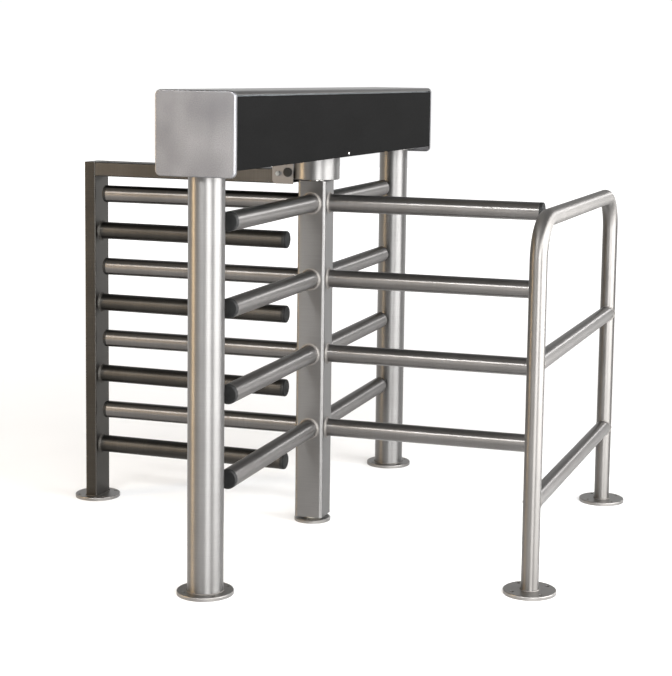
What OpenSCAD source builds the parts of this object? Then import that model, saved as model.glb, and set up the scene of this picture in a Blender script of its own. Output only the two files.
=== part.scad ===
// Waist-high rotor turnstile. Four wings of four arms turn on a square column under an overhead head,
// between a comb barrier on the left and a hooped guard rail on the right.
// The origin is on the floor at the rotor's axis. X runs towards the guard rail, Y along the head
// away from the viewer, and Z up. All sizes are in millimetres and angles in degrees.

/* [Rotor] */
// Distance from the head's underside down to the middle of the highest arms
arm_drop = 112; // [105:1:120]
// Height from one arm level to the next
arm_pitch = 182; // [170:1:184]
// Number of arm levels
arm_levels = 4; // [3:1:4]
// Outer diameter of the arms and of the comb bars
arm_d = 42.4; // [38:0.1:44]
// Wall of the arm and comb bar tubes
arm_wall = 2; // [1.5:0.1:3]
// Reach of an arm from the rotor's axis to the end of its cap
arm_reach = 555; // [520:1:560]
// Length of an arm cap that shows past the tube
cap_l = 9; // [6:0.5:14]
// Length of the cap's plug inside the tube
plug_l = 18; // [12:1:26]
// Width of the square column
column_w = 70; // [64:1:74]
// Wall of the column
column_wall = 3; // [2:0.5:4]
// Outer corner radius of the column
column_r = 8; // [5:0.5:10]
// Height of the column's foot above the floor
column_foot_z = 14; // [13:0.5:18]
// Angle that the rotor stands off square at rest, within the play of its locks
rest_turn = 1.9; // [0:0.1:2.2]

/* [Floor pivot] */
// Diameter of the floor pivot plate
pivot_plate_d = 88; // [80:1:100]
// Thickness of the floor pivot plate
pivot_plate_t = 8; // [6:0.5:9]
// Diameter of the pivot pin
pivot_pin_d = 20; // [16:1:24]
// Height of the pivot pin above the floor
pivot_pin_h = 40; // [36:1:44]
// Wall of the nylon bush round the pivot pin
bush_wall = 6; // [4:0.5:7]
// Bolt circle of the pivot plate's three holes
pivot_pcd = 64; // [60:1:70]

/* [Shaft and bearings] */
// Diameter of the rotor shaft
shaft_d = 40; // [35:1:42]
// Outer diameter of the two ball bearings
bearing_d = 80; // [76:1:84]
// Width of each ball bearing
bearing_w = 18; // [15:1:20]
// Distance from the lower bearing to the upper one
bearing_gap = 24; // [18:1:26]
// Outer diameter of the bearing collar under the head
collar_d = 112; // [104:1:112]
// Length of the bearing collar below the head
collar_drop = 56; // [50:1:60]
// Running clearance on the radius of every shaft, pin and plunger
run_gap = 0.05; // [0.03:0.01:0.1]

/* [Posts] */
// Outer diameter of the two head posts
post_d = 76.1; // [70:0.1:80]
// Wall of the posts
post_wall = 2.5; // [2:0.1:4]
// Distance from the end of an arm to the middle of a post, as a wing passes it
post_gap = 52; // [50:1:80]
// Distance of the posts' line from the rotor's axis, towards the comb
head_shift = 6; // [0:1:8]
// Diameter of a post's floor flange
post_flange_d = 120; // [116:1:140]
// Thickness of every floor flange
flange_t = 8; // [6:0.5:12]
// Bolt circle of a post's flange
post_pcd = 98; // [96:0.5:104]
// Diameter of the anchor holes in every flange
anchor_d = 9; // [7:0.5:10]

/* [Head] */
// Height of the head's top above the floor
head_top_z = 1050; // [1040:1:1080]
// Height from the underside of the head's base to its top
head_h = 159; // [155:1:170]
// Distance from the middle of a post to the end of the head
post_inset = 59; // [58:1:90]
// Width of the head
head_w = 176; // [176:1:200]
// Depth that the end covers hang below the head's base
cover_drop = 15; // [12:1:20]
// Depth of an end cover along the head
cover_depth = 10; // [8:1:14]
// Corner radius of the end covers and of the shell
head_r = 12; // [8:1:16]
// Radius of an end cover's front edge
cover_edge = 3; // [2:0.5:4]
// Thickness of the shell and the end covers
shell_t = 1.5; // [1:0.25:1.5]
// Height of the bright strip that the shell shows above the side panels
strip_h = 8; // [7:0.5:10]
// Thickness of the black side panels
panel_t = 1.5; // [1:0.1:1.6]
// Gap between the strip and the side flap that swings out below it
flap_gap = 3.4; // [3.4:0.1:4]
// Thickness of the head's base
base_t = 5; // [4:0.5:6]
// Height of the base's folded sides
base_side_h = 26; // [22:1:30]

/* [Comb barrier] */
// Distance from the end of an arm to the middle of the comb post, as a wing passes it
comb_gap = 34.5; // [30:0.5:60]
// Width of the comb post, seen from the end
comb_post_w = 30; // [26:1:34]
// Depth of the comb post and its beam along the head
comb_post_d = 70; // [60:1:72]
// Height of the comb beam
comb_beam_h = 35; // [30:1:38]
// Distance from the head's underside down to the comb beam's underside
beam_drop = 68; // [62:1:76]
// Depth of each comb bar below its arm level
comb_drop = 94; // [86:1:96]
// Distance from the rotor's axis to the end of a comb bar's cap
comb_tip = 72; // [66:1:90]
// Wall of the comb post and beam
comb_wall = 2; // [1.5:0.5:3]
// Diameter of the comb post's floor flange
comb_flange_d = 112; // [108:1:125]
// Bolt circle of the comb post's flange
comb_pcd = 94; // [92:0.5:96]
// Thickness of the bracket that hangs the beam from the head
hanger_t = 5; // [4:0.5:6]
// Width of the hanging bracket along the beam
hanger_w = 54; // [50:1:60]
// Diameter of the black plug in the bracket
hanger_plug_d = 22; // [16:1:24]

/* [Guard rail] */
// Distance from the end of an arm to the middle of the guard rail, as a wing passes it
rail_gap = 76; // [60:1:120]
// Distance of the near leg in front of the rotor's axis
rail_near = 356; // [320:1:400]
// Distance of the far leg behind the rotor's axis
rail_far = 439; // [400:1:480]
// Outer diameter of the guard rail's tube
rail_d = 38; // [34:0.5:42]
// Wall of the guard rail's tube
rail_wall = 2; // [1.5:0.1:3]
// Height of the middle of the top tube
rail_top_z = 792; // [760:1:820]
// Height of the middle bar
rail_mid_z = 491; // [460:1:520]
// Height of the low bar
rail_low_z = 195; // [170:1:220]
// Bend radius at the middle of the tube
rail_bend = 85; // [70:1:110]
// Diameter of a rail leg's floor flange
rail_flange_d = 114; // [106:1:125]
// Bolt circle of a rail leg's flange
rail_pcd = 88; // [80:0.5:90]

/* [Locks and damper] */
// Diameter of the two lock wheels
wheel_d = 128; // [120:1:128]
// Thickness of a lock wheel and its pawl
wheel_t = 8; // [6:0.5:8]
// Depth of a notch in a lock wheel
notch_depth = 10; // [8:0.5:11]
// Width of a pawl's tooth
tooth_w = 10; // [8:0.5:10]
// Play of the tooth in the notch, on each side
notch_play = 3; // [2.8:0.1:4]
// Depth that the tooth reaches into the notch
tooth_bite = 8; // [6:0.5:8]
// Distance from a pawl's pivot to its tooth
pawl_l = 55; // [50:1:56]
// Angle that a pawl swings from clear to locked
pawl_swing = 12; // [11.5:0.5:13]
// Diameter of a pawl's pivot pin
pawl_pin_d = 12; // [10:1:14]
// Distance from a pawl's pivot to the plunger that pushes it
push_l = 30; // [28:1:32]
// Diameter of a solenoid plunger
plunger_d = 10; // [8:0.5:11]
// Width of a solenoid's frame
solenoid_w = 34; // [30:1:36]
// Length of a solenoid's frame
solenoid_l = 48; // [42:1:52]
// Module of the damper gears
gear_module = 2;
// Teeth of the gear on the rotor shaft
gear_teeth = 66;
// Teeth of the pinion on the damper
pinion_teeth = 18;
// Thickness of the rotor gear
gear_t = 10; // [8:0.5:11]
// Diameter of the rotary damper
damper_d = 64; // [56:1:70]
// Height of the rotary damper
damper_h = 26; // [20:1:30]

/* [Hidden] */
$fn = 64;

// Colours
steel = "#b4b1ab";
bright_steel = "#c9c8c4";
black_panel = "#2c2e2e";
black_plastic = "#1f2020";
zinc = "#a9adb0";
nylon = "#e4e0d4";

// Clearance between a piece and its seat, where the two are joined
seat_gap = 0.03;
// Clearance between a moving piece and a neighbour that it doesn't run in
free_gap = 0.3;
// Overlap that joins two shapes of one piece, or takes a cut past a face
lap = 0.5;

// Floor pivot and rotor heights
head_base_z = head_top_z - head_h;
base_top_z = head_base_z + base_t;
collar_z = head_base_z - collar_drop;
column_top_z = collar_z - 3;
column_in = column_w - 2 * column_wall;
head_plug_h = 30;
foot_plug_h = 16;
bush_flange_t = column_foot_z - pivot_plate_t - free_gap;
function arm_z(k) = head_base_z - arm_drop - (arm_levels - 1 - k) * arm_pitch;

// Bearings in the collar
shaft_r = shaft_d / 2;
bearing_z = collar_z + 6;
upper_bearing_z = bearing_z + bearing_w + bearing_gap;
collar_flange_z = base_top_z;
collar_flange_t = 12;
collar_flange_d = collar_d + 38;
collar_flange_top = collar_flange_z + collar_flange_t;
collar_screw_pcd = collar_d + 18;
cover_t = 4;
shaft_ring_r = shaft_r + 5;

// Stack of wheels on the shaft
entry_z = collar_flange_top + cover_t + 4;
exit_z = entry_z + wheel_t + 4;
gear_z = exit_z + wheel_t + 6;
nut_z = gear_z + gear_t;
nut_h = 12;
thread_r = shaft_r - 5;
key_w = 12;
key_sink = 5;
key_proud = 3.3;

// Locks
wheel_r = wheel_d / 2;
pawl_y = wheel_r + 22;
pawl_half = 9;
pawl_boss_r = pawl_pin_d / 2 + 5;
pin_column_r = pawl_pin_d / 2 + 3;
push_x = push_l - pawl_l;
push_gap = 0.5;
tip_y = pawl_y + pawl_half / cos(pawl_swing) + push_l * tan(pawl_swing) + push_gap;
solenoid_front = tip_y + 10;
solenoid_plate = 4;
plunger_tail = solenoid_front + solenoid_l - 6;

// Damper
gear_r = gear_module * gear_teeth / 2;
pinion_r = gear_module * pinion_teeth / 2;
damper_y = gear_r + pinion_r + 0.1;
bridge_z = nut_z + 6;
bridge_t = 5;
standoff_x = 62;
standoff_front = 24;
standoff_back = 46;
standoff_near = damper_y - standoff_front;
standoff_far = damper_y + standoff_back;
standoff_r = 5;
bridge_r = 8;
neck_in = 6;
neck_r = pinion_r - neck_in;
damper_shaft_r = 5;

// Posts and guard rail
post_span = 2 * (arm_reach + post_gap);
rail_x = arm_reach + rail_gap;
post_plate_w = post_d + 18;
post_plate_t = 8;
post_top_z = head_base_z - post_plate_t;
post_bolt_in = 12;
cable_d = 44;
head_x = -head_shift;

// Head
head_l = post_span + 2 * post_inset;
half_w = head_w / 2;
shell_end = head_l / 2 - cover_depth;
strip_z = head_top_z - strip_h;
shell_in_z = head_top_z - shell_t;
flap_top_z = strip_z - flap_gap;
hinge_in = 4;
hinge_z = flap_top_z - 1;
hinge_x = head_x + half_w - hinge_in;
hinge_l = 60;
hinge_end = 120;
hinge_y = shell_end - hinge_end;
leaf_drop = 24;
knuckle_r = 1.9;
hinge_pin_r = 1;
leaf_t = 1;
rail_t = 2;
rail_in = hinge_in + 2.5;
rail_drop = shell_in_z - hinge_z + 2;
corner_in = head_r - shell_t;
// Fall of the shell's inner face at a distance from the head's middle
function shell_fall(x) =
    corner_in - sqrt(pow(corner_in, 2) - pow(max(0, x - half_w + head_r), 2));
leaf_rise = shell_in_z - shell_fall(half_w - rail_in + leaf_t) - 1.5 - hinge_z;
bulkhead_gap = 2;
bulkhead_t = 3;
middle_y = 300;
stud_z = (base_top_z + shell_in_z - bulkhead_gap) / 2;
stud_d = 6;
stud_in_x = 34;
stud_in_z = 28;
cover_nut_r = 5.8;
cover_nut_h = 5;
base_side_t = 3;
panel_end_gap = 1;
panel_lip = 6;
flap_screw_z = head_base_z + 8;

// Comb
comb_x = arm_reach + comb_gap;
comb_in_x = comb_x - comb_post_w / 2;
comb_beam_z = head_base_z - beam_drop;
collar_clear = 3;
beam_end_x = collar_d / 2 + 2 * collar_clear;
beam_top_z = comb_beam_z + comb_beam_h;
hanger_x = sqrt(pow(collar_d / 2 + collar_clear, 2) - pow(comb_post_d / 2 + hanger_t, 2));
hanger_corner = 10;
hanger_bolt_z = comb_beam_z + comb_beam_h * 0.7;
hanger_plug_z = comb_beam_z + comb_beam_h * 0.8;
hanger_hole_d = hanger_plug_d - 6;
hanger_bolt_d = 8;
comb_section_r = 3;

// Rectangle with round corners, centred
module round_rect(w, h, r) {
    square([w - 2 * r, h], center = true);
    square([w, h - 2 * r], center = true);
    for (x = [-1, 1], y = [-1, 1])
        translate([x * (w / 2 - r), y * (h / 2 - r)]) circle(r);
}

// Rectangular tube along Z
module box_tube(w, h, r, wall, l) {
    difference() {
        linear_extrude(l) round_rect(w, h, r);
        translate([0, 0, -lap]) linear_extrude(l + 2 * lap)
            round_rect(w - 2 * wall, h - 2 * wall, r - wall / 2);
    }
}

// Round tube along Z
module pipe(d, wall, l) {
    difference() {
        cylinder(d = d, h = l);
        translate([0, 0, -lap]) cylinder(d = d - 2 * wall, h = l + 2 * lap);
    }
}

// Ring of holes or bolts on a bolt circle
module on_circle(pcd, count, start = 45) {
    for (k = [0 : count - 1]) rotate([0, 0, start + k * 360 / count])
        translate([pcd / 2, 0, 0]) children();
}

// Floor flange with a softened rim, anchor holes and a cable hole under the tube
module floor_flange(d, pcd, hole_d) {
    rim = 1.5;
    difference() {
        rotate_extrude() polygon([
            [0, 0], [d / 2, 0], [d / 2, flange_t - rim], [d / 2 - rim / 3, flange_t - rim / 3],
            [d / 2 - rim, flange_t], [0, flange_t]
        ]);
        on_circle(pcd, 4) translate([0, 0, -lap]) cylinder(d = anchor_d, h = flange_t + 2 * lap);
        translate([0, 0, -lap]) cylinder(d = hole_d, h = flange_t + 2 * lap);
    }
}

// Cap at the end of a round tube, along Z, with its shoulder at z = 0 and its plug below
module tube_cap(d, wall) {
    edge = min(3, cap_l / 2);
    plug_r = d / 2 - wall - 0.2;
    difference() {
        rotate_extrude() polygon(concat(
            [[0, -plug_l], [plug_r - 1, -plug_l], [plug_r, -plug_l + 2], [plug_r, 0], [d / 2, 0]],
            [for (a = [0 : 15 : 90])
                [d / 2 - edge + edge * cos(a), cap_l - edge + edge * sin(a)]],
            [[0, cap_l]]
        ));
        translate([0, 0, -plug_l - lap]) cylinder(r = plug_r - 2, h = plug_l - 2 + lap);
    }
}

// Places its children at a wing's arm level, with Z along the arm
module on_arms(turn) {
    rotate([0, 0, turn + rest_turn])
        for (k = [0 : arm_levels - 1]) translate([0, 0, arm_z(k)]) rotate([0, 90, 0]) children();
}

module wing(turn) {
    color(steel) on_arms(turn) translate([0, 0, column_w / 2])
        pipe(arm_d, arm_wall, arm_reach - cap_l - column_w / 2);
}

module arm_caps() {
    color(black_plastic) for (a = [0 : 90 : 270])
        on_arms(a) translate([0, 0, arm_reach - cap_l]) tube_cap(arm_d, arm_wall);
}

module column() {
    color(steel) rotate([0, 0, rest_turn]) translate([0, 0, column_foot_z])
        box_tube(column_w, column_w, column_r, column_wall, column_top_z - column_foot_z);
}

// Square block that is welded into an end of the column
module column_plug(z, h, bore_r) {
    color(zinc) rotate([0, 0, rest_turn]) translate([0, 0, z]) difference() {
        linear_extrude(h) round_rect(
            column_in - 2 * seat_gap, column_in - 2 * seat_gap, column_r - column_wall / 2
        );
        translate([0, 0, -lap]) cylinder(r = bore_r, h = h + 2 * lap);
    }
}

module column_plugs() {
    column_plug(column_foot_z, foot_plug_h, pivot_pin_d / 2 + bush_wall + seat_gap);
    column_plug(column_top_z - head_plug_h, head_plug_h, shaft_r + seat_gap);
}

module pivot_bush() {
    color(nylon) difference() {
        union() {
            translate([0, 0, column_foot_z]) cylinder(r = pivot_pin_d / 2 + bush_wall, h = foot_plug_h);
            translate([0, 0, column_foot_z - bush_flange_t])
                cylinder(r = pivot_pin_d / 2 + bush_wall + 4, h = bush_flange_t);
        }
        translate([0, 0, pivot_plate_t]) cylinder(r = pivot_pin_d / 2 + run_gap, h = 2 * foot_plug_h);
    }
}

module rotor_shaft() {
    foot = column_top_z - head_plug_h;
    color(bright_steel) difference() {
        rotate_extrude() polygon([
            [0, foot], [shaft_r - 1, foot], [shaft_r, foot + 1], [shaft_r, column_top_z],
            [shaft_ring_r, column_top_z], [shaft_ring_r, bearing_z - free_gap],
            [shaft_r, bearing_z - free_gap], [shaft_r, nut_z - 2], [thread_r, nut_z - 2],
            [thread_r, nut_z + nut_h + 5], [thread_r - 1.5, nut_z + nut_h + 6.5],
            [0, nut_z + nut_h + 6.5]
        ]);
        shaft_keyway(seat_gap);
    }
}

// Room for the key, widened by a clearance
module shaft_keyway(gap) {
    rotate([0, 0, rest_turn])
        translate([shaft_r - key_sink - gap, -key_w / 2 - gap, entry_z - gap])
            cube([key_sink + key_proud + 2 * gap, key_w + 2 * gap, nut_z - 2 - entry_z + 2 * gap]);
}

module shaft_key() {
    color(zinc) shaft_keyway(0);
}

module shaft_nut() {
    color(zinc) translate([0, 0, nut_z]) difference() {
        cylinder(r = thread_r + 11, h = nut_h, $fn = 6);
        translate([0, 0, -lap]) cylinder(r = thread_r + seat_gap, h = nut_h + 2 * lap);
    }
}

// Lock wheel with four notches, each with one square face and one ramp. A hand of -1 turns it over.
module lock_wheel(z, below, above, hand) {
    floor_r = wheel_r - notch_depth;
    half = tooth_w / 2 + notch_play;
    color(zinc) difference() {
        rotate([0, 0, rest_turn]) translate([0, 0, z]) {
            linear_extrude(wheel_t) difference() {
                circle(wheel_r);
                for (k = [0 : 3]) rotate([0, 0, k * 90]) scale([1, hand]) polygon([
                    [floor_r, -half], [floor_r, half], [wheel_r + lap, half],
                    [wheel_r + lap, -half - notch_depth]
                ]);
                on_circle(wheel_r * 1.2, 4) circle(9);
            }
            translate([0, 0, -below]) cylinder(r = shaft_ring_r, h = below + wheel_t + above);
        }
        translate([0, 0, z - below - lap])
            cylinder(r = shaft_r + seat_gap, h = below + wheel_t + above + 2 * lap);
        shaft_keyway(seat_gap);
    }
}

module entry_lock_wheel() {
    below = entry_z - upper_bearing_z - bearing_w - free_gap;
    lock_wheel(entry_z, below, exit_z - entry_z - wheel_t, 1);
}

module exit_lock_wheel() {
    lock_wheel(exit_z, 0, gear_z - exit_z - wheel_t, -1);
}

// Involute gear outline, with one tooth along +X. play is the angle taken off each flank.
function involute(a) = tan(a) * 180 / PI - a;
function polar(r, a) = [r * cos(a), r * sin(a)];
module gear_outline(teeth, play) {
    pitch_r = gear_module * teeth / 2;
    base_r = pitch_r * cos(20);
    tip_r = pitch_r + gear_module;
    root_r = pitch_r - 1.25 * gear_module;
    start_r = max(base_r, root_r);
    function half(r) = 90 / teeth + involute(20) - involute(acos(min(1, base_r / r))) - play;
    radii = [for (k = [0 : 3]) start_r + (tip_r - start_r) * k / 3];
    polygon([for (i = [0 : teeth - 1]) let (a = i * 360 / teeth) each concat(
        [polar(root_r, a - half(start_r))],
        [for (r = radii) polar(r, a - half(r))],
        [for (k = [3 : -1 : 0]) polar(radii[k], a + half(radii[k]))],
        [polar(root_r, a + half(start_r))]
    )]);
}

module rotor_gear() {
    color(zinc) difference() {
        translate([0, 0, gear_z]) linear_extrude(gear_t) difference() {
            rotate([0, 0, 90]) gear_outline(gear_teeth, 0.1);
            on_circle(gear_r * 1.2, 6, 15) circle(gear_r * 0.17);
        }
        translate([0, 0, gear_z - lap]) cylinder(r = shaft_r + seat_gap, h = gear_t + 2 * lap);
        shaft_keyway(seat_gap);
    }
}

module pivot_plate() {
    color(steel) difference() {
        rotate_extrude() polygon([
            [0, 0], [pivot_plate_d / 2, 0], [pivot_plate_d / 2, pivot_plate_t - 2],
            [pivot_plate_d / 2 - 2, pivot_plate_t], [0, pivot_plate_t]
        ]);
        translate([0, 0, 2]) cylinder(d = pivot_pin_d + 2 * seat_gap, h = pivot_plate_t);
        on_circle(pivot_pcd, 3, 30) translate([0, 0, -lap])
            cylinder(d = anchor_d, h = pivot_plate_t + 2 * lap);
    }
}

module pivot_pin() {
    color(bright_steel) translate([0, 0, 2]) {
        cylinder(d = pivot_pin_d, h = pivot_pin_h - 4);
        translate([0, 0, pivot_pin_h - 4]) cylinder(d1 = pivot_pin_d, d2 = pivot_pin_d - 4, h = 2, $fn = 64);
    }
}

module head_post(side) {
    color(steel) translate([head_x, side * post_span / 2, flange_t])
        pipe(post_d, post_wall, post_top_z - flange_t);
}

module post_flanges() {
    color(steel) for (side = [-1, 1]) translate([head_x, side * post_span / 2, 0])
        floor_flange(post_flange_d, post_pcd, cable_d);
}

// Places its children at the four bolts of each post's top plate
module on_post_bolts() {
    reach = post_plate_w / 2 - post_bolt_in;
    for (side = [-1, 1], x = [-1, 1], y = [-1, 1])
        translate([head_x + x * reach, side * post_span / 2 + y * reach, 0]) children();
}

module post_top_plates() {
    color(steel) difference() {
        for (side = [-1, 1]) translate([head_x, side * post_span / 2, post_top_z]) difference() {
            linear_extrude(post_plate_t) round_rect(post_plate_w, post_plate_w, 8);
            translate([0, 0, -lap]) cylinder(d = cable_d, h = post_plate_t + 2 * lap);
        }
        on_post_bolts() translate([0, 0, post_top_z - lap])
            cylinder(d = 10 + 2 * seat_gap, h = post_plate_t + 2 * lap);
    }
}

module post_bolts() {
    color(zinc) on_post_bolts() {
        translate([0, 0, post_top_z]) cylinder(d = 10, h = base_top_z - post_top_z + lap);
        translate([0, 0, base_top_z]) cylinder(r = 9.2, h = 6.4, $fn = 6);
    }
}

// Channel that carries the mechanism, with folded sides
module head_base() {
    left = head_x - half_w + panel_t;
    right = head_x + half_w - panel_t - free_gap;
    color(zinc) difference() {
        translate([left, -shell_end, head_base_z])
            cube([right - left, 2 * shell_end, base_side_h]);
        translate([left + base_side_t, -shell_end - lap, base_top_z])
            cube([right - left - 2 * base_side_t, 2 * shell_end + 2 * lap, base_side_h]);
        translate([0, 0, head_base_z - lap]) cylinder(d = collar_d + 2 * seat_gap, h = base_t + 2 * lap);
        on_circle(collar_screw_pcd, 6, 0) translate([0, 0, head_base_z - lap])
            cylinder(d = 8 + 2 * seat_gap, h = base_t + 2 * lap);
        on_post_bolts() translate([0, 0, head_base_z - lap]) cylinder(d = 11, h = base_t + 2 * lap);
        for (side = [-1, 1]) translate([head_x, side * post_span / 2, head_base_z - lap])
            cylinder(d = cable_d, h = base_t + 2 * lap);
        on_hanger_screws() translate([0, 0, head_base_z - lap]) cylinder(d = 9, h = base_t + 2 * lap);
        translate([right + lap, 0, flap_screw_z]) rotate([0, -90, 0])
            cylinder(d = 5, h = base_side_t + 2 * lap);
    }
}

module bearing_collar() {
    seat_r = bearing_d / 2 + seat_gap;
    shoulder_r = bearing_d / 2 - 6;
    color(steel) difference() {
        rotate_extrude() polygon([
            [seat_r, collar_z], [collar_d / 2 - 1.5, collar_z], [collar_d / 2, collar_z + 1.5],
            [collar_d / 2, collar_flange_z], [collar_flange_d / 2, collar_flange_z],
            [collar_flange_d / 2, collar_flange_top], [seat_r, collar_flange_top],
            [seat_r, upper_bearing_z], [shoulder_r, upper_bearing_z],
            [shoulder_r, bearing_z + bearing_w], [seat_r, bearing_z + bearing_w]
        ]);
        on_circle(collar_screw_pcd, 6, 0) {
            translate([0, 0, collar_flange_z - lap]) cylinder(d = 8 + 2 * seat_gap, h = collar_flange_t + 2 * lap);
            translate([0, 0, collar_flange_top - 8]) cylinder(d = 14, h = 8 + lap);
        }
    }
}

module collar_screws() {
    color(zinc) on_circle(collar_screw_pcd, 6, 0) {
        translate([0, 0, head_base_z + 1]) cylinder(d = 8, h = base_t + collar_flange_t - 9 + lap);
        difference() {
            translate([0, 0, collar_flange_top - 8]) cylinder(d = 13, h = 7.6);
            translate([0, 0, collar_flange_top - 4]) cylinder(d = 7, h = 4, $fn = 6);
        }
    }
}

// Sealed ball bearing: two rings and the shields between them
module ball_bearing(z) {
    outer = bearing_d / 2;
    inner = shaft_r + run_gap;
    ring = (outer - inner) / 3;
    color(bright_steel) translate([0, 0, z]) rotate_extrude() polygon([
        [inner, 0], [inner + ring, 0], [inner + ring, 1], [outer - ring, 1], [outer - ring, 0],
        [outer, 0], [outer, bearing_w], [outer - ring, bearing_w], [outer - ring, bearing_w - 1],
        [inner + ring, bearing_w - 1], [inner + ring, bearing_w], [inner, bearing_w]
    ]);
}

module bearings() {
    ball_bearing(bearing_z);
    ball_bearing(upper_bearing_z);
}

// Dust ring under the lower bearing, and the cover that holds the upper one down
module bearing_covers() {
    hole_r = shaft_ring_r + 3;
    plug_r = bearing_d / 2;
    spigot = collar_flange_top - upper_bearing_z - bearing_w;
    color(zinc) {
        translate([0, 0, collar_z]) pipe(2 * plug_r, plug_r - hole_r, bearing_z - collar_z);
        translate([0, 0, collar_flange_top - spigot]) pipe(2 * plug_r, 5, spigot + lap);
        translate([0, 0, collar_flange_top]) pipe(2 * plug_r + 12, plug_r + 6 - hole_r, cover_t);
    }
}

// Folded top of the head, with a round corner and a short bright strip on each side
module shell() {
    h = 4 * head_r;
    color(steel) translate([head_x, shell_end, head_top_z - h / 2]) rotate([90, 0, 0])
        linear_extrude(2 * shell_end) difference() {
            round_rect(head_w, h, head_r);
            round_rect(head_w - 2 * shell_t, h - 2 * shell_t, head_r - shell_t);
            translate([-head_w, -h]) square([2 * head_w, 1.5 * h - strip_h]);
        }
}

// Bars under the shell that carry the hinges and the fixed panel
module shell_rails() {
    out = half_w - rail_in;
    color(zinc) for (side = [-1, 1]) translate([head_x, 0, 0]) scale([side, 1, 1])
        translate([out, shell_end, shell_in_z]) rotate([90, 0, 0]) linear_extrude(2 * shell_end)
            polygon([
                [0, -shell_fall(out) - seat_gap], [-rail_t, -shell_fall(out - rail_t) - seat_gap],
                [-rail_t, -rail_drop], [0, -rail_drop]
            ]);
}

// Cross wall of the head, between the base, the shell and its bars
module bulkhead(y, window) {
    w = 2 * (half_w - rail_in - rail_t);
    h = shell_in_z - bulkhead_gap - base_top_z;
    translate([head_x, y + bulkhead_t / 2, base_top_z + h / 2]) rotate([90, 0, 0])
        linear_extrude(bulkhead_t) difference() {
            square([w, h], center = true);
            if (window) round_rect(w - 60, h - 50, 12);
            else cover_studs() circle(d = stud_d + 2 * seat_gap);
        }
}

// Places its children at the four studs of an end cover, across the head
module cover_studs() {
    for (x = [-1, 1], z = [-1, 1]) translate([x * (half_w - stud_in_x), z * (head_h / 2 - stud_in_z)]) children();
}

module bulkheads() {
    color(zinc) for (side = [-1, 1]) {
        bulkhead(side * (shell_end - bulkhead_t / 2), false);
        bulkhead(side * middle_y, true);
    }
}

// Edge of a drawn cover: a band as wide as its corner radius, rounded at the front at y = 0
module cover_edge_profile() {
    translate([head_r - cover_edge, cover_edge]) circle(cover_edge);
    square([head_r - cover_edge, cover_depth]);
    translate([0, cover_edge]) square([head_r, cover_depth - cover_edge]);
}

// Slab with round corners and a rounded front edge, w by h across, front at z = 0
module drawn_slab(w, h) {
    x = w / 2 - head_r;
    y = h / 2 - head_r;
    translate([-x, -y, 0]) cube([2 * x, 2 * y, cover_depth]);
    for (side = [-1, 1]) {
        for (end = [-1, 1]) translate([side * x, end * y, 0]) rotate_extrude() cover_edge_profile();
        translate([side * x, 0, 0]) rotate([90, 0, 90 - side * 90])
            linear_extrude(2 * y, center = true) cover_edge_profile();
        translate([0, side * y, 0]) rotate([90, 0, side * 90])
            linear_extrude(2 * x, center = true) cover_edge_profile();
    }
}

// Deep-drawn cover that closes an end of the head and hides the joint with the post
module end_cover() {
    h = head_h + cover_drop;
    translate([head_x, -head_l / 2, head_top_z - h / 2]) rotate([-90, 0, 0]) difference() {
        drawn_slab(head_w, h);
        translate([0, 0, cover_edge]) linear_extrude(cover_depth)
            round_rect(head_w - 2 * shell_t, h - 2 * shell_t, head_r - shell_t);
    }
    translate([head_x, -head_l / 2 + cover_edge - lap, stud_z]) rotate([-90, 0, 0])
        cover_studs() cylinder(d = stud_d, h = cover_depth + bulkhead_t + 8);
}

module end_covers() {
    color(steel) {
        end_cover();
        translate([2 * head_x, 0, 0]) rotate([0, 0, 180]) end_cover();
    }
}

// Side panel with folded ends, seen from its outer face at x = 0
module side_panel(top_z) {
    l = shell_end - panel_end_gap;
    low_lip = base_top_z + base_side_h;
    translate([-panel_t, -l, head_base_z]) cube([panel_t, 2 * l, top_z - head_base_z]);
    for (side = [-1, 1]) translate([-panel_t - panel_lip + lap, side * (l - panel_t / 2) - panel_t / 2, low_lip])
        cube([panel_lip, panel_t, top_z - 14 - low_lip]);
}

module cover_nuts() {
    color(zinc) for (side = [-1, 1]) translate([head_x, side * (shell_end - bulkhead_t), stud_z])
        rotate([side * 90, 0, 0]) cover_studs() difference() {
            cylinder(r = cover_nut_r, h = cover_nut_h, $fn = 6);
            translate([0, 0, -lap]) cylinder(d = stud_d + 2 * seat_gap, h = cover_nut_h + 2 * lap);
        }
}

module fixed_panel() {
    l = shell_end - panel_end_gap;
    color(black_panel) translate([head_x - half_w, 0, 0]) mirror([1, 0, 0]) {
        side_panel(strip_z);
        translate([-rail_in, -l, strip_z - panel_t]) cube([rail_in - lap, 2 * l, panel_t]);
    }
}

module side_flap() {
    color(black_panel) difference() {
        translate([head_x + half_w, 0, 0]) side_panel(flap_top_z);
        translate([head_x + half_w + lap, 0, flap_screw_z]) rotate([0, -90, 0])
            cylinder(d = 4 + 2 * seat_gap, h = panel_t + 2 * lap);
    }
}

// Places its children at the flap's three hinges, with Z along the hinge pin
module on_hinges() {
    for (y = [-hinge_y, 0, hinge_y]) translate([hinge_x, y + hinge_l / 2, hinge_z]) rotate([90, 0, 0]) children();
}

module knuckle(z, l) {
    translate([0, 0, z]) cylinder(r = knuckle_r, h = l);
}

module hinge_leaves_fixed() {
    third = hinge_l / 3;
    color(zinc) on_hinges() difference() {
        for (z = [0, 2 * third]) {
            knuckle(z, third);
            translate([-rail_in + hinge_in, 0, z]) cube([leaf_t, leaf_rise, third]);
            translate([-rail_in + hinge_in, -knuckle_r, z]) cube([leaf_t, knuckle_r + lap, third]);
        }
        translate([0, 0, -lap]) cylinder(r = hinge_pin_r + run_gap, h = hinge_l + 2 * lap);
    }
}

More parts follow.
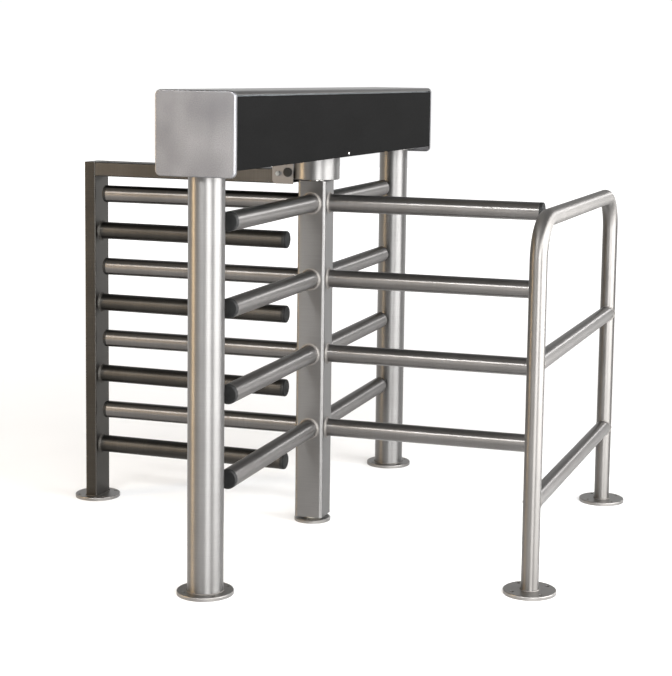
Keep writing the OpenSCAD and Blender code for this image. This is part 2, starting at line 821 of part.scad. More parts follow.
module hinge_leaves_moving() {
    third = hinge_l / 3;
    color(zinc) on_hinges() difference() {
        union() {
            knuckle(third + free_gap, third - 2 * free_gap);
            translate([hinge_in - panel_t - leaf_t, -leaf_drop, third + free_gap])
                cube([leaf_t, leaf_drop, third - 2 * free_gap]);
        }
        translate([0, 0, -lap]) cylinder(r = hinge_pin_r + run_gap, h = hinge_l + 2 * lap);
    }
}

module hinge_pins() {
    color(bright_steel) on_hinges() translate([0, 0, -1]) cylinder(r = hinge_pin_r, h = hinge_l + 2);
}

module flap_screw() {
    color(bright_steel) translate([head_x + half_w, 0, flap_screw_z]) rotate([0, 90, 0]) difference() {
        union() {
            rotate_extrude() polygon([[0, 0], [4, 0], [3.7, 1], [2.8, 1.9], [1.5, 2.3], [0, 2.4]]);
            translate([0, 0, -panel_t - base_side_t - 2]) cylinder(d = 4, h = panel_t + base_side_t + 2 + lap);
        }
        translate([0, 0, 1]) cylinder(d = 2.6, h = 2, $fn = 6);
    }
}

module comb_post() {
    h = beam_top_z - flange_t;
    color(steel) translate([-comb_x, 0, flange_t]) {
        box_tube(comb_post_w, comb_post_d, comb_section_r, comb_wall, h - comb_wall);
        translate([0, 0, h - comb_wall]) linear_extrude(comb_wall)
            round_rect(comb_post_w, comb_post_d, comb_section_r);
    }
}

module comb_beam() {
    l = comb_in_x - beam_end_x;
    color(steel) difference() {
        translate([-comb_in_x, 0, comb_beam_z + comb_beam_h / 2]) rotate([90, 0, 90])
            box_tube(comb_post_d, comb_beam_h, comb_section_r, comb_wall, l);
        on_hanger_bolts() cylinder(d = hanger_bolt_d + 2 * seat_gap, h = comb_post_d + 2 * lap, center = true);
    }
}

module comb_bars() {
    color(steel) for (k = [0 : arm_levels - 1])
        translate([-comb_in_x, 0, arm_z(k) - comb_drop]) rotate([0, 90, 0])
            pipe(arm_d, arm_wall, comb_in_x - comb_tip - cap_l);
}

module comb_caps() {
    color(black_plastic) for (k = [0 : arm_levels - 1])
        translate([-comb_tip - cap_l, 0, arm_z(k) - comb_drop]) rotate([0, 90, 0])
            tube_cap(arm_d, arm_wall);
}

module comb_flange() {
    color(steel) translate([-comb_x, 0, 0])
        floor_flange(comb_flange_d, comb_pcd, comb_post_w - 2 * comb_wall);
}

// Places its children at the cross bolt of the hanger, with Z along the bolt
module on_hanger_bolts() {
    translate([-hanger_x - hanger_w + 15, 0, hanger_bolt_z]) rotate([90, 0, 0]) children();
}

// Places its children at the two screws that hold the hanger under the head's base
module on_hanger_screws() {
    for (y = [-1, 1]) translate([-hanger_x - hanger_w + 15, y * 20, 0]) children();
}

// Folded bracket that hangs the comb beam's end under the head
module beam_hanger() {
    drop = head_base_z - comb_beam_z;
    color(steel) difference() {
        union() {
            for (side = [-1, 1]) translate([-hanger_x - hanger_w, side * (comb_post_d + hanger_t) / 2 + hanger_t / 2, comb_beam_z])
                rotate([90, 0, 0]) linear_extrude(hanger_t) difference() {
                    square([hanger_w, drop]);
                    difference() {
                        translate([-lap, -lap]) square(hanger_corner + lap);
                        translate([hanger_corner, hanger_corner]) circle(hanger_corner);
                    }
                }
            translate([-hanger_x - hanger_w, -comb_post_d / 2 - lap, head_base_z - hanger_t])
                cube([hanger_w, comb_post_d + 2 * lap, hanger_t]);
        }
        translate([0, 0, comb_beam_z - lap])
            cylinder(r = collar_d / 2 + collar_clear - lap, h = drop + 2 * lap);
        on_hanger_bolts() cylinder(d = hanger_bolt_d + 2 * seat_gap, h = comb_post_d + 4 * hanger_t, center = true);
        on_hanger_screws() translate([0, 0, head_base_z - 2 * hanger_t]) cylinder(d = 8 + 2 * seat_gap, h = 3 * hanger_t);
        on_hanger_plugs() translate([0, 0, -lap]) cylinder(d = hanger_hole_d, h = hanger_t + 2 * lap);
    }
}

// Places its children at the plug of each cheek, with Z out of the cheek
module on_hanger_plugs() {
    for (side = [-1, 1]) translate([-hanger_x - hanger_plug_d / 2 - 3, side * comb_post_d / 2, hanger_plug_z])
        rotate([-side * 90, 0, 0]) children();
}

module hanger_bolts() {
    reach = comb_post_d / 2 + hanger_t;
    color(zinc) {
        on_hanger_bolts() {
            cylinder(d = hanger_bolt_d, h = 2 * reach, center = true);
            for (side = [-1, 1]) scale([1, 1, side]) translate([0, 0, reach]) cylinder(r = 6, h = 4, $fn = 6);
        }
        on_hanger_screws() {
            translate([0, 0, head_base_z - hanger_t - 4]) cylinder(r = 6.5, h = 4, $fn = 6);
            translate([0, 0, head_base_z - hanger_t - lap]) cylinder(d = 8, h = hanger_t + base_t + 2 * lap);
            translate([0, 0, base_top_z]) cylinder(r = 7.5, h = 5, $fn = 6);
        }
    }
}

module hanger_plugs() {
    color(black_plastic) on_hanger_plugs() {
        cylinder(d = hanger_hole_d - 2 * seat_gap, h = hanger_t);
        translate([0, 0, hanger_t]) cylinder(d = hanger_plug_d, h = 2.5);
    }
}

// The hoop's centreline swept with a circle of radius r
module rail_sweep(r, past) {
    top = rail_top_z - rail_bend;
    translate([rail_x, 0, 0]) {
        for (y = [-rail_near, rail_far]) translate([0, y, flange_t - past]) cylinder(r = r, h = top - flange_t + past);
        translate([0, -rail_near + rail_bend, rail_top_z]) rotate([-90, 0, 0])
            cylinder(r = r, h = rail_near + rail_far - 2 * rail_bend);
        for (end = [[-rail_near + rail_bend, 90], [rail_far - rail_bend, 0]])
            translate([0, end[0], top]) rotate([90, 0, 90]) rotate([0, 0, end[1]])
                rotate_extrude(angle = 90) translate([rail_bend, 0]) circle(r);
    }
}

module guard_rail() {
    color(steel) difference() {
        rail_sweep(rail_d / 2, 0);
        rail_sweep(rail_d / 2 - rail_wall, lap);
    }
}

// Middle and low bars, with their ends cut to the legs
module rail_bars() {
    color(steel) difference() {
        for (z = [rail_mid_z, rail_low_z]) translate([rail_x, -rail_near, z]) rotate([-90, 0, 0])
            pipe(rail_d, rail_wall, rail_near + rail_far);
        for (y = [-rail_near, rail_far]) translate([rail_x, y, 0]) cylinder(r = rail_d / 2, h = rail_top_z);
    }
}

module rail_flanges() {
    color(steel) for (y = [-rail_near, rail_far]) translate([rail_x, y, 0])
        floor_flange(rail_flange_d, rail_pcd, rail_d - 2 * rail_wall - 6);
}

// A pawl and what moves with it are drawn for the entry lock, and turned half round for the exit
module lock_side(side) {
    rotate([0, 0, side == "entry" ? 0 : 180]) children();
}
function lock_z(side) = side == "entry" ? entry_z : exit_z;

module pawl_pins() {
    color(bright_steel) for (side = ["entry", "exit"]) lock_side(side) {
        z = lock_z(side);
        translate([-pawl_l, -pawl_y, base_top_z]) {
            cylinder(r = pin_column_r + 5, h = 4);
            cylinder(r = pin_column_r, h = z - base_top_z - free_gap);
            cylinder(d = pawl_pin_d, h = z - base_top_z + wheel_t + free_gap + lap);
            translate([0, 0, z - base_top_z + wheel_t + free_gap]) cylinder(r = pin_column_r, h = 3);
        }
    }
}

// Pawl drawn locked and swung back to clear the wheel
module pawl(side) {
    tip = pawl_y - wheel_r + tooth_bite;
    left = pawl_l - tooth_w / 2;
    right = pawl_l + tooth_w / 2;
    color(zinc) lock_side(side) translate([-pawl_l, -pawl_y, lock_z(side)]) rotate([0, 0, -pawl_swing])
        linear_extrude(wheel_t) difference() {
            union() {
                circle(pawl_boss_r);
                polygon([
                    [0, -pawl_half], [right, -pawl_half], [right + 3, -pawl_half + 3],
                    [right + 3, pawl_half - 3], [right, pawl_half], [right, tip], [left + 2, tip],
                    [left, tip - 2], [left, pawl_half + 4], [left - 4, pawl_half], [0, pawl_half]
                ]);
            }
            circle(pawl_pin_d / 2 + run_gap);
        }
}

module plunger(side) {
    r = plunger_d / 2;
    color(bright_steel) lock_side(side)
        translate([push_x, -tip_y - r, lock_z(side) + wheel_t / 2]) {
            sphere(r);
            rotate([90, 0, 0]) cylinder(r = r, h = plunger_tail - tip_y - r);
        }
}

// Places its children at a solenoid's front face, with Z along the plunger and out of the back
module at_solenoid(side) {
    lock_side(side) translate([push_x, -solenoid_front, lock_z(side) + wheel_t / 2])
        rotate([90, 0, 0]) children();
}

// Open steel frame of a solenoid, on the block that brings it level with its pawl
module solenoid_frame(side) {
    half = solenoid_w / 2;
    rise = lock_z(side) + wheel_t / 2 - base_top_z;
    at_solenoid(side) difference() {
        union() {
            for (z = [0, solenoid_l - solenoid_plate]) translate([-half, -half, z])
                cube([solenoid_w, solenoid_w, solenoid_plate]);
            translate([-half, -rise, 0]) cube([solenoid_w, rise - half + solenoid_plate, solenoid_l]);
        }
        translate([0, 0, -lap]) cylinder(r = plunger_d / 2 + run_gap, h = solenoid_l + 2 * lap);
    }
}

module solenoid_frames() {
    color(zinc) {
        solenoid_frame("entry");
        solenoid_frame("exit");
    }
}

module solenoid_coils() {
    color(black_plastic) for (side = ["entry", "exit"]) at_solenoid(side)
        translate([0, 0, solenoid_plate]) difference() {
            cylinder(r = solenoid_w / 2 - solenoid_plate - seat_gap, h = solenoid_l - 2 * solenoid_plate);
            translate([0, 0, -lap]) cylinder(r = plunger_d / 2 + run_gap, h = solenoid_l);
        }
}

// Return spring round a pawl's pin: one wire of six sides along a helix
spring_wire = 0.8;
spring_turns = 4;
spring_pitch = 2.4;
spring_steps = 18;
spring_sides = 6;
module spring(r) {
    n = spring_turns * spring_steps;
    rings = [for (i = [0 : n]) let (a = i * 360 / spring_steps, z = spring_pitch * i / spring_steps)
        [for (j = [0 : spring_sides - 1]) let (b = j * 360 / spring_sides, q = r + spring_wire * cos(b))
            [q * cos(a), q * sin(a), z + spring_wire * sin(b)]]];
    function id(i, j) = i * spring_sides + j % spring_sides;
    polyhedron(
        points = [for (ring = rings) each ring],
        faces = concat(
            [[for (j = [0 : spring_sides - 1]) id(0, j)]],
            [for (i = [0 : n - 1], j = [0 : spring_sides - 1]) each [
                [id(i, j), id(i + 1, j), id(i, j + 1)],
                [id(i, j + 1), id(i + 1, j), id(i + 1, j + 1)]
            ]],
            [[for (j = [spring_sides - 1 : -1 : 0]) id(n, j)]]
        )
    );
}

module pawl_springs() {
    color(bright_steel) for (side = ["entry", "exit"]) lock_side(side)
        translate([-pawl_l, -pawl_y, base_top_z + 4 + spring_wire + free_gap])
            spring(pin_column_r + spring_wire + free_gap);
}

module damper_bridge() {
    mid_y = (standoff_near + standoff_far) / 2;
    color(zinc) difference() {
        union() {
            translate([0, mid_y, bridge_z]) linear_extrude(bridge_t) round_rect(
                2 * standoff_x + 4 * standoff_r, standoff_far - standoff_near + 4 * standoff_r, bridge_r
            );
            for (x = [-1, 1], y = [standoff_near, standoff_far]) translate([x * standoff_x, y, base_top_z])
                cylinder(r = standoff_r, h = bridge_z - base_top_z + lap);
        }
        translate([0, damper_y, bridge_z - lap]) cylinder(r = neck_r, h = bridge_t + 2 * lap);
    }
}

module damper() {
    z = bridge_z + bridge_t;
    color(black_plastic) difference() {
        translate([0, damper_y, z]) {
            rotate_extrude() polygon([
                [0, 0], [damper_d / 2 + 6, 0], [damper_d / 2 + 6, 4], [damper_d / 2, 4],
                [damper_d / 2, damper_h - 2], [damper_d / 2 - 2, damper_h], [0, damper_h]
            ]);
            translate([0, 0, -bridge_t + 1]) cylinder(r = neck_r - seat_gap, h = bridge_t);
        }
        translate([0, damper_y, z - bridge_t - lap]) cylinder(r = damper_shaft_r + run_gap, h = bridge_t + damper_h - 6);
    }
}

module damper_pinion() {
    z = bridge_z + bridge_t;
    color(bright_steel) translate([0, damper_y, 0]) {
        translate([0, 0, gear_z - 1]) linear_extrude(gear_t + 2)
            rotate([0, 0, -90 + 180 / pinion_teeth]) gear_outline(pinion_teeth, 0.25);
        translate([0, 0, gear_z - 3]) cylinder(r = damper_shaft_r, h = z + damper_h - 8 - gear_z);
    }
}

// Control electronics in a moulded box with a stepped lid and two cable glands
module control_box() {
    w = 110;
    l = 150;
    h = 56;
    lid = 12;
    away = 35;
    y = -(middle_y + away + l / 2);
    color(black_plastic) translate([head_x, y, base_top_z]) {
        linear_extrude(h - lid) round_rect(w - 3, l - 3, 6);
        translate([0, 0, h - lid]) linear_extrude(lid) round_rect(w, l, 6);
        for (x = [-1, 1]) translate([x * 25, l / 2 - 2, 20]) rotate([-90, 0, 0]) {
            cylinder(r = 9, h = 6, $fn = 6);
            cylinder(r = 6.5, h = 14);
        }
    }
}

column();
column_plugs();
pivot_bush();
rotor_shaft();
shaft_key();
shaft_nut();
wing(0);  // wing_right
wing(90);  // wing_back
wing(180);  // wing_left
wing(270);  // wing_front
arm_caps();
entry_lock_wheel();
exit_lock_wheel();
rotor_gear();
pivot_plate();
pivot_pin();
head_post(-1);  // near_post
head_post(1);  // far_post
post_flanges();
post_top_plates();
post_bolts();
head_base();
bearing_collar();
bearings();
bearing_covers();
collar_screws();
shell();
shell_rails();
bulkheads();
end_covers();
cover_nuts();
fixed_panel();
hinge_leaves_fixed();
hinge_pins();
side_flap();
hinge_leaves_moving();
flap_screw();
comb_post();
comb_beam();
comb_bars();
comb_caps();
comb_flange();
beam_hanger();
hanger_bolts();
hanger_plugs();
guard_rail();
rail_bars();
rail_flanges();
pawl_pins();
pawl_springs();
solenoid_frames();
solenoid_coils();
pawl("entry");  // entry_pawl
pawl("exit");  // exit_pawl
plunger("entry");  // entry_plunger
plunger("exit");  // exit_plunger
damper_bridge();
damper();
damper_pinion();
control_box();
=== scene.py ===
"""Looks of the waist-high turnstile: finishes, welds, wiring in the head, studio and camera."""

import math

import bmesh
import bpy
from mathutils import Matrix, Vector


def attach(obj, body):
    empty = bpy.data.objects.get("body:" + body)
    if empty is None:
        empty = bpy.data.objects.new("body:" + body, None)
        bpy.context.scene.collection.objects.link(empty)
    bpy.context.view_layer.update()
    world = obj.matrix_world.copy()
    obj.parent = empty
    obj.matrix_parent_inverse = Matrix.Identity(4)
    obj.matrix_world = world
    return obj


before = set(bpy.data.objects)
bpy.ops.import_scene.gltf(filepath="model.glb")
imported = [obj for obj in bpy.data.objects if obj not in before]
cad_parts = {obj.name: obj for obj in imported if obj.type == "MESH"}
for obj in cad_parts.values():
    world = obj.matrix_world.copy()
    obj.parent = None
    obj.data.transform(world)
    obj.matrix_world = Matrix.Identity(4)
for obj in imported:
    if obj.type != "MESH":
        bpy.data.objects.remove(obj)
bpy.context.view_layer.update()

MM = 0.001

# Places and sizes that the trim shares with the CAD nodes, in metres
ARM_R = 21.2 * MM
ARM_LEVELS = [(233 + 182 * k) * MM for k in range(4)]
COLUMN_HALF = 35 * MM
REST_TURN = math.radians(1.9)
COMB_X = -589.5 * MM
COMB_SECTION = (30 * MM, 70 * MM)
COMB_FACE_X = -574.5 * MM
COMB_DROP = 94 * MM
POST_X = -6 * MM
POST_Y = 607 * MM
POST_R = 38.05 * MM
RAIL_X = 631 * MM
RAIL_Y = (-356 * MM, 439 * MM)
RAIL_R = 19 * MM
RAIL_BARS = (491 * MM, 195 * MM)
RAIL_BEND_Z = (707 * MM, 772 * MM)
FLANGE_T = 8 * MM


# Shader nodes

def linear(hex_colour):
    """Linear RGBA of an sRGB hex colour such as 'b4b1ab'."""
    values = [int(hex_colour[i:i + 2], 16) / 255 for i in (0, 2, 4)]
    return [v / 12.92 if v <= 0.04045 else ((v + 0.055) / 1.055) ** 2.4 for v in values] + [1.0]


def grey(value):
    return (value, value, value, 1.0)


def set_inputs(node, values):
    """Sets a node's sockets from a dictionary of values by socket name or number."""
    for socket, value in values.items():
        node.inputs[socket].default_value = value


def add_node(tree, kind, links=(), sockets=None, **properties):
    """Adds a node. links are (socket, source socket) pairs, sockets are values for set_inputs."""
    node = tree.nodes.new(kind)
    for name, value in properties.items():
        setattr(node, name, value)
    set_inputs(node, sockets or {})
    for socket, source in links:
        tree.links.new(source, node.inputs[socket])
    return node


def combine(tree, operation, *sources):
    """Output of a math node on one or two source sockets."""
    return add_node(tree, "ShaderNodeMath", enumerate(sources), operation=operation).outputs[0]


def map_range(tree, source, from_range, to_range=(0, 1)):
    """Output of a node that maps one range of values on to another."""
    ends = {"From Min": from_range[0], "From Max": from_range[1],
            "To Min": to_range[0], "To Max": to_range[1]}
    return add_node(tree, "ShaderNodeMapRange", [("Value", source)], ends).outputs["Result"]


def ramp(tree, source, stops):
    """Output of a colour ramp with (position, colour) stops on a source socket."""
    node = add_node(tree, "ShaderNodeValToRGB", [("Fac", source)])
    while len(node.color_ramp.elements) < len(stops):
        node.color_ramp.elements.new(0.5)
    for element, (position, colour) in zip(node.color_ramp.elements, stops):
        element.position = position
        element.color = colour
    return node.outputs["Color"]


def noise(tree, place, grain_mm, detail, roughness):
    """Noise with a grain size in millimetres along each axis."""
    scale = [1 / (size * MM) for size in grain_mm]
    grain = add_node(tree, "ShaderNodeMapping", [("Vector", place)], {"Scale": scale})
    return add_node(tree, "ShaderNodeTexNoise", [("Vector", grain.outputs["Vector"])],
                    {"Scale": 1.0, "Detail": detail, "Roughness": roughness}).outputs["Fac"]


def bump(tree, shader, height, depth_mm, edge_mm=0.0):
    """Surface relief of a real depth, over edges rounded by a real radius."""
    relief = add_node(tree, "ShaderNodeBump", [("Height", height)],
                      {"Distance": depth_mm * MM, "Strength": 1.0})
    if edge_mm:
        edge = add_node(tree, "ShaderNodeBevel", sockets={"Radius": edge_mm * MM})
        tree.links.new(edge.outputs["Normal"], relief.inputs["Normal"])
    tree.links.new(relief.outputs["Normal"], shader.inputs["Normal"])


def new_material(name):
    """A material with its shader and the point's place on the object."""
    material = bpy.data.materials.new(name)
    material.use_nodes = True
    tree = material.node_tree
    place = add_node(tree, "ShaderNodeTexCoord").outputs["Object"]
    return material, tree, tree.nodes["Principled BSDF"], place


def tint(tree, shader, source, stops):
    """Drives the base colour by (position, hex colour) stops on a source socket."""
    colours = ramp(tree, source, [(position, linear(colour)) for position, colour in stops])
    tree.links.new(colours, shader.inputs["Base Color"])


def polish(tree, shader, source, smooth, rough):
    """Drives the roughness between two values by a source socket."""
    tree.links.new(ramp(tree, source, [(0.3, grey(smooth)), (0.7, grey(rough))]),
                   shader.inputs["Roughness"])


# Finishes

BELT_CLOUD_MM = (90, 90, 130)
COAT_CLOUD_MM = (160, 160, 60)
GRAIN_PULL = 0.8
COAT_IOR, COAT_SPECULAR = 1.3, 0.05
NYLON_IOR, NYLON_SPECULAR = 1.53, 0.25
WELD_ROUGHNESS = 0.62


def brushed_stainless(name, grain_mm, light, dark, rough=0.34, edge_mm=0.5, axis=None):
    """Satin stainless steel with fine scratches, and a slow change of tone where the belt ran
    lighter or heavier. A tube is belt ground round its axis, which draws each highlight out along
    it. axis is a direction on the object, or a function that adds the nodes for one."""
    material, tree, shader, place = new_material(name)
    scratches = noise(tree, place, grain_mm, 3.0, 0.6)
    cloud = noise(tree, place, BELT_CLOUD_MM, 2.0, 0.5)
    tint(tree, shader, combine(tree, "MULTIPLY", scratches, cloud), [(0.1, dark), (0.4, light)])
    polish(tree, shader, scratches, rough - 0.02, rough + 0.03)
    set_inputs(shader, {"Metallic": 1.0})
    if axis:
        along = add_node(tree, "ShaderNodeVectorTransform", vector_type="VECTOR",
                         convert_from="OBJECT", convert_to="WORLD")
        if callable(axis):
            tree.links.new(axis(tree, place), along.inputs["Vector"])
        else:
            set_inputs(along, {"Vector": axis})
        tree.links.new(along.outputs["Vector"], shader.inputs["Tangent"])
        set_inputs(shader, {"Anisotropic": GRAIN_PULL})
    bump(tree, shader, scratches, 0.005, edge_mm)
    return material


def rail_axis(tree, place):
    """Direction of the bent rail's tube: up one leg, over along Y and down the other."""
    where = add_node(tree, "ShaderNodeSeparateXYZ", [("Vector", place)]).outputs
    beside = add_node(tree, "ShaderNodeMath", [(0, where["Y"])], {1: sum(RAIL_Y) / 2},
                      operation="SUBTRACT")
    leg = combine(tree, "SIGN", beside.outputs[0])
    over = map_range(tree, where["Z"], RAIL_BEND_Z)
    rise = map_range(tree, where["Z"], RAIL_BEND_Z, (-1, 0))
    return add_node(tree, "ShaderNodeCombineXYZ",
                    [("Y", over), ("Z", combine(tree, "MULTIPLY", rise, leg))]).outputs["Vector"]


def plated_steel(name, light, dark, rough):
    """Sheet steel with a dull zinc plate: cool grey with a faint cloudy spangle."""
    material, tree, shader, place = new_material(name)
    spangle = noise(tree, place, (9, 9, 9), 4.0, 0.6)
    tint(tree, shader, spangle, [(0.35, dark), (0.65, light)])
    polish(tree, shader, spangle, rough - 0.06, rough + 0.08)
    set_inputs(shader, {"Metallic": 1.0})
    bump(tree, shader, spangle, 0.01, 0.3)
    return material


def powder_coat(name, light, dark):
    """Satin black powder coat: an even orange-peel skin that keeps a soft sheen."""
    material, tree, shader, place = new_material(name)
    peel = noise(tree, place, (1.6, 1.6, 1.6), 2.0, 0.5)
    cloud = noise(tree, place, COAT_CLOUD_MM, 2.0, 0.5)
    tint(tree, shader, cloud, [(0.35, dark), (0.68, light)])
    polish(tree, shader, peel, 0.52, 0.64)
    set_inputs(shader, {"IOR": COAT_IOR, "Specular IOR Level": COAT_SPECULAR})
    bump(tree, shader, peel, 0.03, 0.4)
    return material


def moulded_nylon(name, light, dark, rough):
    """Injection-moulded nylon with a fine spark-eroded grain, duller where it was handled."""
    material, tree, shader, place = new_material(name)
    grain = noise(tree, place, (0.8, 0.8, 0.8), 3.0, 0.6)
    handled = noise(tree, place, (18, 18, 18), 2.0, 0.5)
    tint(tree, shader, handled, [(0.35, dark), (0.7, light)])
    polish(tree, shader, handled, rough - 0.07, rough + 0.07)
    set_inputs(shader, {"IOR": NYLON_IOR, "Specular IOR Level": NYLON_SPECULAR})
    bump(tree, shader, grain, 0.03, 0.4)
    return material


def weld_metal(name, dark, light, middle):
    """TIG weld, brushed or ground but still tinted straw by the heat."""
    material, tree, shader, place = new_material(name)
    heat = noise(tree, place, (14, 14, 14), 2.0, 0.5)
    tint(tree, shader, heat, [(0.3, dark), (0.5, light), (0.7, middle)])
    set_inputs(shader, {"Metallic": 1.0, "Roughness": WELD_ROUGHNESS})
    bump(tree, shader, heat, 0.05)
    return material


# Belt-ground tubes: the grain runs round the tube, 1.2 mm from line to line, coarser than the real
# 0.1 mm scratches so that it shows in the render
X_AXIS, Y_AXIS, Z_AXIS = (1, 0, 0), (0, 1, 0), (0, 0, 1)
ACROSS_X, ACROSS_Y, ACROSS_Z = (1.2, 60, 60), (60, 1.2, 60), (60, 60, 1.2)
UPRIGHT_TONES = ("757473", "6b6a69")
# The level tubes take the uprights' ground steel a shade darker: painted shade for their undersides
LEVEL_SHADE_TONES = ("696766", "605e5c")
# The comb takes the same ground steel much darker: painted shade, for the comb standing in shade
# under the head on the left
COMB_SHADE_TONES = ("43413e", "383633")
steel_z = brushed_stainless("stainless_ground_upright", ACROSS_Z, *UPRIGHT_TONES, rough=0.45,
                            axis=Z_AXIS)
steel_x = brushed_stainless("stainless_ground_crosswise", ACROSS_X, *LEVEL_SHADE_TONES, axis=X_AXIS)
steel_y = brushed_stainless("stainless_ground_lengthwise", ACROSS_Y, *LEVEL_SHADE_TONES, axis=Y_AXIS)
comb_z = brushed_stainless("stainless_comb_painted_shade_upright", ACROSS_Z, *COMB_SHADE_TONES, rough=0.38,
                           axis=Z_AXIS)
comb_x = brushed_stainless("stainless_comb_painted_shade_crosswise", ACROSS_X, *COMB_SHADE_TONES, rough=0.5,
                           axis=X_AXIS)

# Other finishes
steel_satin = brushed_stainless("stainless_satin", (1.5, 1.5, 1.5), "84827f", "7a7876", rough=0.4)
# The guard rail takes the satin steel darker: painted shade
steel_rail = brushed_stainless("stainless_satin_rail_painted_shade", (1.5, 1.5, 1.5), "6e6c6a", "666462",
                               rough=0.42, axis=rail_axis)
steel_cover = brushed_stainless("stainless_glass_blasted", (2, 2, 2), "8a8a8c", "646467",
                                rough=0.42)
steel_strip = brushed_stainless("stainless_ground_strip", (1.2, 90, 1.2), "5e5c5a", "565452",
                                rough=0.3)
steel_bright = brushed_stainless("steel_turned_bright", (6, 6, 0.8), "c9c8c4", "a9a7a2", rough=0.2,
                                 edge_mm=0.3)
zinc = plated_steel("steel_zinc_plated", "85898b", "6f7375", 0.4)
black_coat = powder_coat("steel_powder_coated_black", "0a0a0a", "080808")
black_nylon = moulded_nylon("nylon_moulded_black", "111212", "0b0c0c", 0.55)
white_nylon = moulded_nylon("nylon_natural", "e4e0d4", "d3cdbd", 0.45)
weld = weld_metal("stainless_weld_bead", "6c6966", "726f6c", "6f6c69")
# The comb's welds take the weld metal darker, to go with the comb: painted shade
shaded_comb_weld = weld_metal("stainless_weld_bead_comb_painted_shade", "45423f", "4c4a47", "484643")

FINISHES = {
    steel_z: "column near_post far_post bearing_collar",
    comb_z: "comb_post",
    comb_x: "comb_bars comb_beam",
    steel_x: "wing_right wing_left beam_hanger",
    steel_y: "wing_back wing_front rail_bars",
    steel_rail: "guard_rail",
    steel_satin: "rail_flanges post_flanges comb_flange pivot_plate post_top_plates",
    steel_cover: "end_covers",
    steel_strip: "shell",
    steel_bright: "pivot_pin rotor_shaft bearings hinge_pins flap_screw pawl_pins pawl_springs "
                  "entry_plunger exit_plunger damper_pinion",
    zinc: "column_plugs shaft_key shaft_nut post_bolts head_base bearing_covers collar_screws "
          "shell_rails bulkheads cover_nuts hinge_leaves_fixed hinge_leaves_moving hanger_bolts "
          "solenoid_frames damper_bridge entry_lock_wheel exit_lock_wheel rotor_gear entry_pawl "
          "exit_pawl",
    black_coat: "side_flap fixed_panel",
    black_nylon: "arm_caps comb_caps hanger_plugs solenoid_coils damper control_box",
    white_nylon: "pivot_bush",
}
for finish, names in FINISHES.items():
    for name in names.split():
        node = bpy.data.objects[name]
        if not node.material_slots:
            node.data.materials.append(finish)
        for material_slot in node.material_slots:
            material_slot.material = finish


# Trim: welds, and the wiring in the head

def add_piece(name, mesh, material, body):
    piece = bpy.data.objects.new(name, mesh)
    bpy.context.scene.collection.objects.link(piece)
    mesh.materials.append(material)
    for polygon in mesh.polygons:
        polygon.use_smooth = True
    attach(piece, body)


def add_weld(name, mesh, metal, body):
    """Turns a finished bmesh of closed shapes into a piece."""
    bmesh.ops.recalc_face_normals(mesh, faces=mesh.faces)
    data = bpy.data.meshes.new(name)
    mesh.to_mesh(data)
    mesh.free()
    add_piece(name, data, metal, body)


def angles(count):
    """count angles at equal steps round a circle."""
    return [2 * math.pi * i / count for i in range(count)]


def join_rings(mesh, rings):
    """Faces from each ring of points to the next, and from the last to the first."""
    for i, ring in enumerate(rings):
        last = rings[i - 1]
        for j in range(len(ring)):
            mesh.faces.new((last[j - 1], last[j], ring[j], ring[j - 1]))


def spread(path, count):
    """count points at equal steps along a closed path."""
    lengths = [(path[(i + 1) % len(path)] - path[i]).length for i in range(len(path))]
    step = sum(lengths) / count
    spots, at, gone = [], 0, 0.0
    for k in range(count):
        while gone + lengths[at] < k * step:
            gone += lengths[at]
            at += 1
        part = (k * step - gone) / lengths[at]
        spots.append(path[at].lerp(path[(at + 1) % len(path)], part))
    return spots


BEAD_SIDES = 8
LEAST_RIPPLES = 24
STEPS_PER_RIPPLE = 3
RIPPLE_SHARE = 0.18
OFF_PATH = Vector((0.31, 0.52, 0.79))  # no weld path runs along it


def weld_beads(name, paths, body, metal=weld, bead=1.7 * MM, ripple=2.6 * MM):
    """Closed weld beads along paths, with the small overlapping ripples of a hand-laid weld."""
    mesh = bmesh.new()
    for path in paths:
        length = sum((path[i] - path[i - 1]).length for i in range(len(path)))
        count = max(LEAST_RIPPLES, round(length / ripple)) * STEPS_PER_RIPPLE
        spots = spread(path, count)
        rings = []
        for i, spot in enumerate(spots):
            along = (spots[(i + 1) % count] - spots[i - 1]).normalized()
            side = along.cross(OFF_PATH).normalized()
            up = along.cross(side)
            swell = abs(math.sin(math.pi * i / STEPS_PER_RIPPLE))
            radius = bead * (1 - RIPPLE_SHARE + RIPPLE_SHARE * swell)
            rings.append([mesh.verts.new(spot + radius * (math.cos(a) * side + math.sin(a) * up))
                          for a in angles(BEAD_SIDES)])
        join_rings(mesh, rings)
    add_weld(name, mesh, metal, body)


PATH_POINTS = 96


def foot_path(x, y, radius):
    """Circle round a tube's foot, on top of its flange."""
    return [Vector((x + radius * math.cos(a), y + radius * math.sin(a), FLANGE_T))
            for a in angles(PATH_POINTS)]


def saddle_path(y, z):
    """Where a rail bar's round end meets its round leg."""
    inward = 1 if y < 0 else -1
    return [Vector((RAIL_X + RAIL_R * math.cos(a), y + inward * RAIL_R * abs(math.sin(a)),
                    z + RAIL_R * math.sin(a))) for a in angles(PATH_POINTS)]


def comb_foot_path():
    """Rectangle round the comb post's foot, on top of its flange."""
    half_x, half_y = COMB_SECTION[0] / 2, COMB_SECTION[1] / 2
    corners = [(-half_x, -half_y), (half_x, -half_y), (half_x, half_y), (-half_x, half_y)]
    return [Vector((COMB_X + x, y, FLANGE_T)) for x, y in corners]


FILLET_STEPS = 10
FILLET_SIDES = 96


